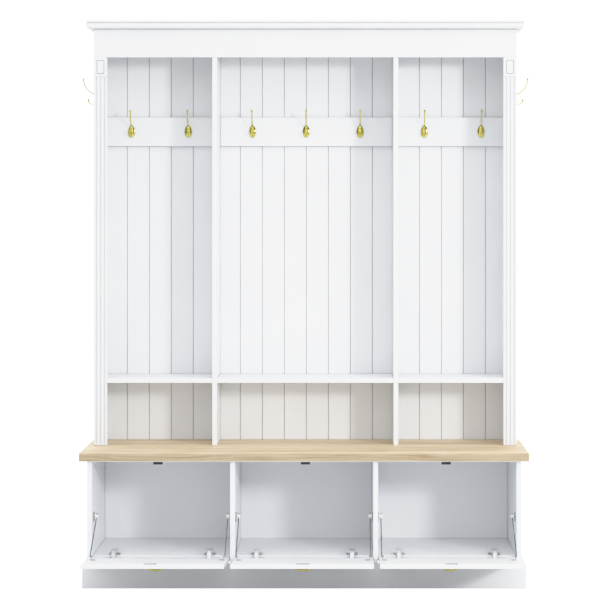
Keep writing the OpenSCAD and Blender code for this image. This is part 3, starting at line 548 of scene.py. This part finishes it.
across = np.array([1.0, 0, 0])
for place in sides:
    body = f"door_{place}_body"
    # up and out are the shut door's directions, as they lie while it is open
    openAngle = math.radians(doorHinges[body]["range_deg"][1])
    up = np.array([0, -math.sin(openAngle), math.cos(openAngle)])
    out = np.array([0, -math.cos(openAngle), -math.sin(openAngle)])
    cad = cadNodes["handle_" + place].data
    corners = np.empty(len(cad.vertices) * 3, np.float32)
    cad.vertices.foreach_get("co", corners)
    corners = corners.reshape(-1, 3).astype(float)
    middle = [((corners @ axis).min() + (corners @ axis).max()) / 2 for axis in (across, up)]
    origin = middle[0] * across + middle[1] * up + (corners @ out).min() * out
    # up, across and out make a left-handed frame, so each face is turned over
    skins = [(origin + local[:, 1:2] * across + local[:, :1] * up + local[:, 2:] * out,
              [group[:, ::-1] for group in faces]) for local, faces in handleSkins()]
    piece = makePiece(f"handle_{place}Brass", skins, buffedBrass)
    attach(piece, body)
    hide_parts("handle_" + place)
print("handles made")


# studio: pale floor, one soft key from the right and front, a white room that is brighter overhead

studio = {
    "floorSize": 30.0, "floorPaint": "#c8c8c9", "floorGlow": 1.9, "floorRoughness": 0.9,
    # the room's light at the horizon and overhead, and the share of the way up where it is full
    "roomLow": 0.7, "roomHigh": 1.85, "roomRise": 0.6, "roomTint": "#fdfdff", "backdrop": 2.4,
    # brightness of the room as metal mirrors it, from far left to far right: a dark flag stands on each side
    "mirrored": ((0.0, 0.3), (0.12, 0.08), (0.33, 0.1), (0.41, 0.85), (0.5, 1.0), (0.58, 0.85), (0.64, 0.04),
                 (0.9, 0.04), (1.0, 0.3)),
    "mirrorLight": 2.0,
    "keyPower": 215.0, "keySize": 0.95, "keyPlace": (4.5, -5.2, 2.34), "keyTint": "#fffefc",
    # light and how bright it is shown, between black and brightest
    "shoulder": ((0.3, 0.6), (0.5, 0.86), (0.7, 0.94)), "brightest": 2.0,
}
floorMesh = bpy.data.meshes.new("floorSheet")
half = studio["floorSize"] / 2
floorMesh.from_pydata([(-half, -half, 0), (half, -half, 0), (half, half, 0), (-half, half, 0)], [],
                      [(0, 1, 2, 3)])
floor = bpy.data.objects.new("floorSheet", floorMesh)
bpy.context.scene.collection.objects.link(floor)
floor.location.z = cadBox[0].z
paper, paperTree, paperShader = startMaterial("whiteStudioPaper", Roughness=studio["floorRoughness"],
                                              Base_Color=paint(studio["floorPaint"]),
                                              Emission_Color=grey(1.0))
seenDirectly = addNode(paperTree, "ShaderNodeLightPath").outputs["Is Camera Ray"]
glow = addNode(paperTree, "ShaderNodeMath", {0: seenDirectly, 1: studio["floorGlow"]}, operation="MULTIPLY")
paperTree.links.new(glow.outputs["Value"], paperShader.inputs["Emission Strength"])
floorMesh.materials.append(paper)

world = bpy.data.worlds.new("whiteRoom")
bpy.context.scene.world = world
world.use_nodes = True
room = world.node_tree
lit = room.nodes["Background"]
lit.inputs["Color"].default_value = paint(studio["roomTint"])
direction = addNode(room, "ShaderNodeTexCoord").outputs["Generated"]
axes = addNode(room, "ShaderNodeSeparateXYZ", {"Vector": direction})
overhead = addNode(room, "ShaderNodeMapRange", {"Value": axes.outputs["Z"], "From Min": 0.0,
                   "From Max": studio["roomRise"], "To Min": studio["roomLow"], "To Max": studio["roomHigh"]})
room.links.new(overhead.outputs["Result"], lit.inputs["Strength"])
bearing = addNode(room, "ShaderNodeMapRange", {"Value": axes.outputs["X"], "From Min": -1.0, "From Max": 1.0})
flags = addNode(room, "ShaderNodeValToRGB", {"Fac": bearing.outputs["Result"]},
                stops=[(place, grey(level)) for place, level in studio["mirrored"]])
mirrored = addNode(room, "ShaderNodeBackground", {"Color": flags.outputs["Color"],
                   "Strength": studio["mirrorLight"]})
seen = addNode(room, "ShaderNodeBackground", {"Color": grey(1.0), "Strength": studio["backdrop"]})
looking = addNode(room, "ShaderNodeLightPath")
unseen = addNode(room, "ShaderNodeMixShader", {0: looking.outputs["Is Glossy Ray"],
                 1: lit.outputs["Background"], 2: mirrored.outputs["Background"]})
blend = addNode(room, "ShaderNodeMixShader", {0: looking.outputs["Is Camera Ray"],
                1: unseen.outputs["Shader"], 2: seen.outputs["Background"]})
room.links.new(blend.outputs["Shader"], room.nodes["World Output"].inputs["Surface"])

keyLamp = bpy.data.lights.new("softKey", "AREA")
keyLamp.shape = "DISK"
keyLamp.energy = studio["keyPower"]
keyLamp.size = studio["keySize"]
keyLamp.color = paint(studio["keyTint"])[:3]
key = bpy.data.objects.new("softKey", keyLamp)
bpy.context.scene.collection.objects.link(key)
key.location = studio["keyPlace"]
key.rotation_mode = "QUATERNION"
middle = (cadBox[0] + cadBox[1]) / 2
key.rotation_quaternion = (key.location - middle).to_track_quat("Z", "Y")
print("studio lit")

camera = {
    "across": 144 * mm, "back": 6.8, "height": 1278 * mm,      # back is measured from the bench's front edge
    "lens": 122.6, "sensor": 36.0,
    "shiftX": -0.07875, "shiftY": -0.158333,                   # the lens shifted, as shares of the frame
}
lensData = bpy.data.cameras.new("camera")
lensData.sensor_width = camera["sensor"]
lensData.lens = camera["lens"]
lensData.shift_x = camera["shiftX"]
lensData.shift_y = camera["shiftY"]
eye = bpy.data.objects.new("camera", lensData)
bpy.context.scene.collection.objects.link(eye)
eye.location = (camera["across"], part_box("bench_top")[0].y - camera["back"], camera["height"])
eye.rotation_euler = (math.pi / 2, 0, 0)
bpy.context.scene.camera = eye

# a soft shoulder: highlights roll off into white instead of clipping
tone = bpy.context.scene.view_settings
tone.view_transform = "Standard"
tone.look = "None"
tone.use_curve_mapping = True
tone.curve_mapping.white_level = [studio["brightest"]] * 3
shoulder = tone.curve_mapping.curves[3]     # the curve that red, green and blue share
for light, shown in studio["shoulder"]:
    shoulder.points.new(light, shown)
tone.curve_mapping.update()
print("camera set")
